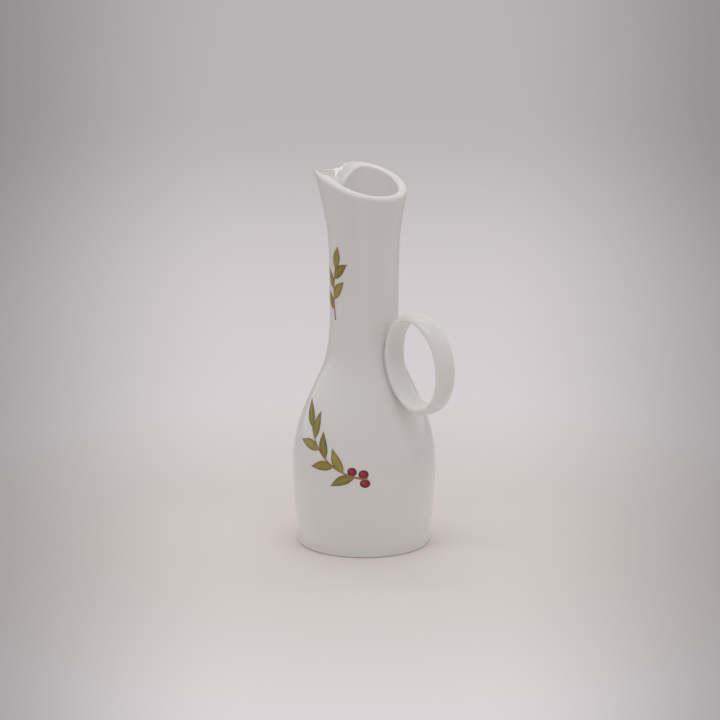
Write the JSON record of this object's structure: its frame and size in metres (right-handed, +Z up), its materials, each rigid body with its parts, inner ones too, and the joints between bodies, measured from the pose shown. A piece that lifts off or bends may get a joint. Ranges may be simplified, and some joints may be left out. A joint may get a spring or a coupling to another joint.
{
  "type": "oil cruet",
  "caption": "Glazed porcelain oil cruet: a round bowl, slender neck and pouring beak, with an oval finger ring on the shoulder and printed leaf sprigs.",
  "frame": {"origin": "centre of the foot ring on the table, on the axis of the bottle", "axes": "+Z up along the axis of the bottle, ring handle on +X, beak 9 degrees from -X towards -Y, printed sprigs on the -Y side"},
  "size_m": [0.0969, 0.0745, 0.196],
  "materials": {
    "porcelain_glaze": "gloss",
    "stem_print": "gloss",
    "olive_print": "gloss",
    "ochre_print": "gloss",
    "crimson_print": "gloss"
  },
  "bodies": {
    "root": {"body": "porcelain_glaze", "ring_handle": "porcelain_glaze", "handle_seam": "porcelain_glaze", "bowl_stem": "stem_print", "bowl_leaves": "olive_print", "bowl_berries": "crimson_print", "neck_stem": "stem_print", "neck_leaves": "ochre_print"}
  },
  "joints": []
}
